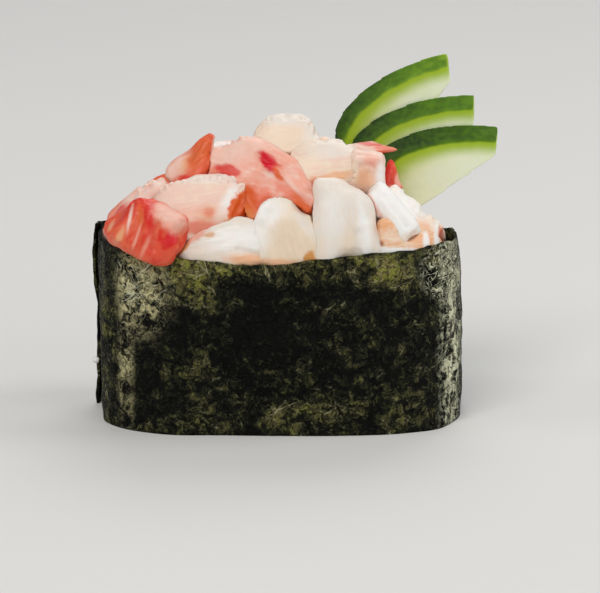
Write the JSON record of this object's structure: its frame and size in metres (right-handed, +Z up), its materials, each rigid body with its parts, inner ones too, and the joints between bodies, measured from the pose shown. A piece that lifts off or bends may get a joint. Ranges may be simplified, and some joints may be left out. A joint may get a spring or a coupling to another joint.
{
  "type": "gunkan sushi",
  "caption": "Gunkan sushi: a band of nori round pressed rice, heaped with flaked crab meat, with slices of cucumber spread behind it.",
  "frame": {"origin": "on the table under the middle of the rice, where the piece rests", "axes": "+X runs along the band to the right as the piece is served, +Y towards the back where the cucumber stands, +Z up"},
  "size_m": [0.0637, 0.0334, 0.0545],
  "materials": {
    "nori": "satin",
    "rice": "satin",
    "crab_white": "satin",
    "crab_cream": "satin",
    "crab_pink": "satin",
    "crab_red": "satin",
    "cucumber": "satin"
  },
  "bodies": {
    "root": {"crab_front_petal": "crab_white", "crab_white_lobe": "crab_white", "crab_white_left": "crab_white", "crab_red_corner": "crab_red", "crab_pink_slab": "crab_pink", "crab_white_stick": "crab_white", "crab_pink_crown": "crab_pink", "crab_orange_peak": "crab_red", "crab_white_tip": "crab_white", "crab_cream_ridge": "crab_cream", "crab_top_lobe": "crab_cream", "crab_curl": "crab_cream", "crab_rim_right": "crab_cream", "crab_right_slope": "crab_white", "crab_red_thorn": "crab_red", "crab_red_tip": "crab_red", "cucumber_front": "cucumber", "cucumber_middle": "cucumber", "cucumber_back": "cucumber", "crab_left_end": "crab_pink", "crab_right_end": "crab_white", "crab_back_red": "crab_red", "crab_back_white": "crab_white", "crab_back_crown": "crab_pink", "crab_back_top": "crab_white", "crab_back_petal": "crab_white", "crab_back_slope": "crab_pink", "crab_heap": "crab_cream", "nori_band": "nori", "rice_bed": "rice"}
  },
  "joints": []
}
